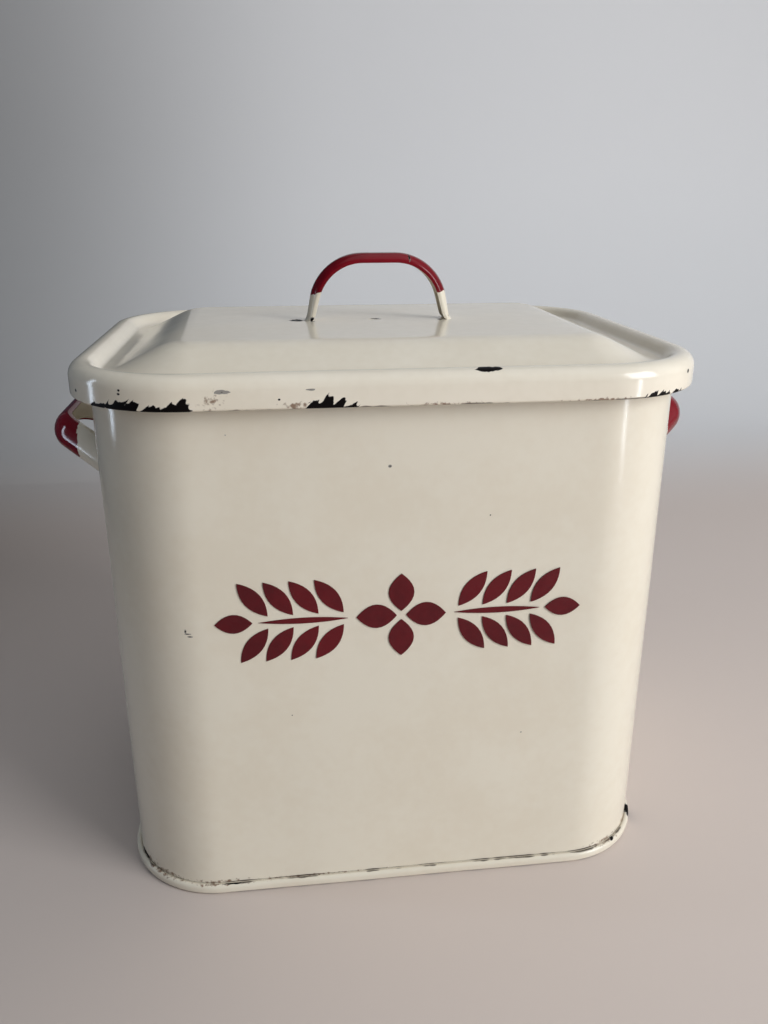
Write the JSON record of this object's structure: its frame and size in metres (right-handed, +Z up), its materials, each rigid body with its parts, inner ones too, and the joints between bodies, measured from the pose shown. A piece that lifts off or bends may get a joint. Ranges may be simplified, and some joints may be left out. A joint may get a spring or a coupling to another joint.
{
  "type": "bread bin",
  "caption": "Tall enamelled steel bread bin with rounded corners, a seamed base, strap handles at its ends and a domed lift-off lid with an arched grip.",
  "frame": {"origin": "middle of the foot, on the surface that the bin stands on", "axes": "+X to the right seen from the front, along the long side; +Y to the back, so the front faces -Y; +Z up"},
  "size_m": [0.386, 0.266, 0.358],
  "materials": {
    "cream_enamel": "gloss",
    "red_enamel": "gloss",
    "wire_steel": "satin"
  },
  "bodies": {
    "bin": {"body_wall": "cream_enamel", "rim_wire": "wire_steel", "base_pan": "cream_enamel", "left_side_handle": "red_enamel", "right_side_handle": "red_enamel"},
    "lid": {"lid_pan": "cream_enamel", "lid_handle": "red_enamel"}
  },
  "joints": [
    {"name": "lid_lift", "type": "slide", "parent": "bin", "child": "lid", "axis": [0, 0, 1], "range_m": [0, 0.12]}
  ]
}
